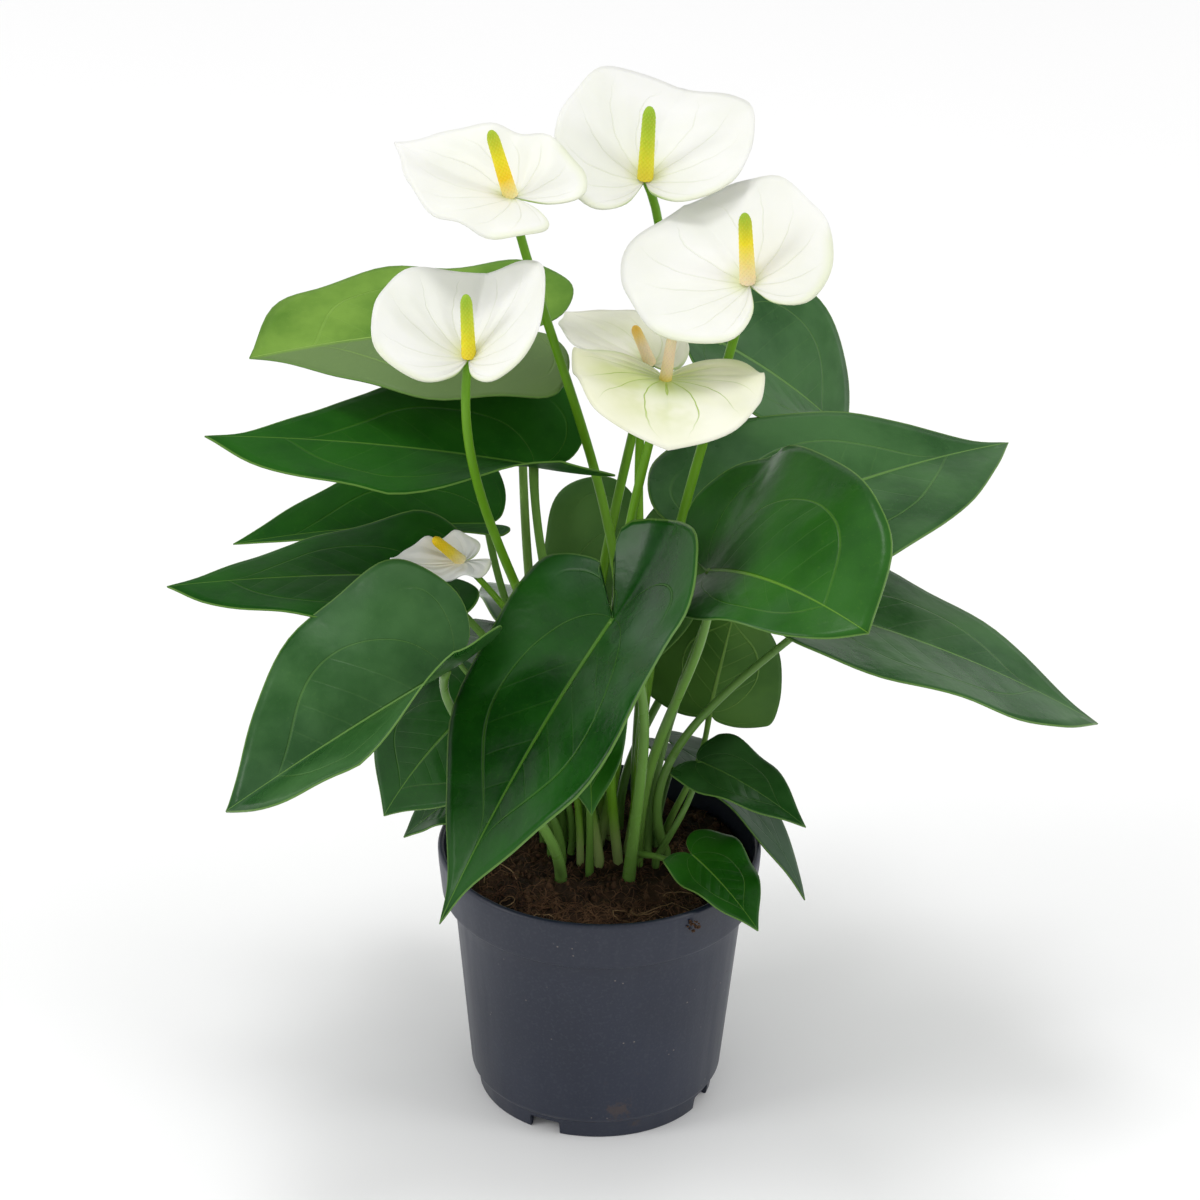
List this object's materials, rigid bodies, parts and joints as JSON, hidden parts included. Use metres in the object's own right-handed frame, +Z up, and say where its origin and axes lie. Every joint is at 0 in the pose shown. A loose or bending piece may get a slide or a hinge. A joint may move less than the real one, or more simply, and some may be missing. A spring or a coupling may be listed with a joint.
{
  "type": "potted anthurium",
  "caption": "Flowering house plant: heart-shaped glossy leaves and white spathes with upright spadices on slim stems, growing from soil in a round tapered nursery pot.",
  "frame": {"origin": "middle of the pot's underside, on the surface it stands on", "axes": "+Z up along the pot's axis and the plant's height, -Y towards the plant's front, +X to the viewer's right"},
  "size_m": [0.337, 0.2513, 0.3843],
  "materials": {
    "pot_plastic": "thin moulded nursery-pot plastic, dark slate blue-grey, slightly satin",
    "peat": null,
    "leaf_green": "glossy leathery green leaf with paler veins and margin",
    "young_leaf_green": "young, lighter and less glossy green leaf",
    "spathe_white": "waxy white flower bract with faint pale green veins",
    "spadix_yellow": "fleshy flower spike, cream to yellow-green, finely knobbed",
    "stem_green": "smooth fleshy yellow-green stem"
  },
  "bodies": {
    "root": {"pot": "pot_plastic", "soil": "peat", "leaf_01": "young_leaf_green", "leaf_02": "leaf_green", "leaf_03": "leaf_green", "leaf_04": "leaf_green", "leaf_05": "leaf_green", "leaf_06": "leaf_green", "leaf_07": "leaf_green", "leaf_08": "leaf_green", "leaf_09": "leaf_green", "leaf_10": "leaf_green", "leaf_11": "leaf_green", "leaf_12": "leaf_green", "leaf_13": "leaf_green", "leaf_14": "young_leaf_green", "leaf_15": "leaf_green", "leaf_16": "leaf_green", "leaf_17": "leaf_green", "leaf_18": "leaf_green", "leaf_19": "leaf_green", "leaf_20": "leaf_green", "leaf_21": "leaf_green", "leaf_22": "leaf_green", "spathe_1": "spathe_white", "spadix_1": "spadix_yellow", "flower_stem_1": "stem_green", "spathe_2": "spathe_white", "spadix_2": "spadix_yellow", "flower_stem_2": "stem_green", "spathe_3": "spathe_white", "spadix_3": "spadix_yellow", "flower_stem_3": "stem_green", "spathe_4": "spathe_white", "spadix_4": "spadix_yellow", "flower_stem_4": "stem_green", "spathe_5": "spathe_white", "spadix_5": "spadix_yellow", "flower_stem_5": "stem_green", "spathe_6": "spathe_white", "spadix_6": "spadix_yellow", "flower_stem_6": "stem_green", "spathe_7": "spathe_white", "spadix_7": "spadix_yellow", "flower_stem_7": "stem_green"}
  },
  "joints": []
}
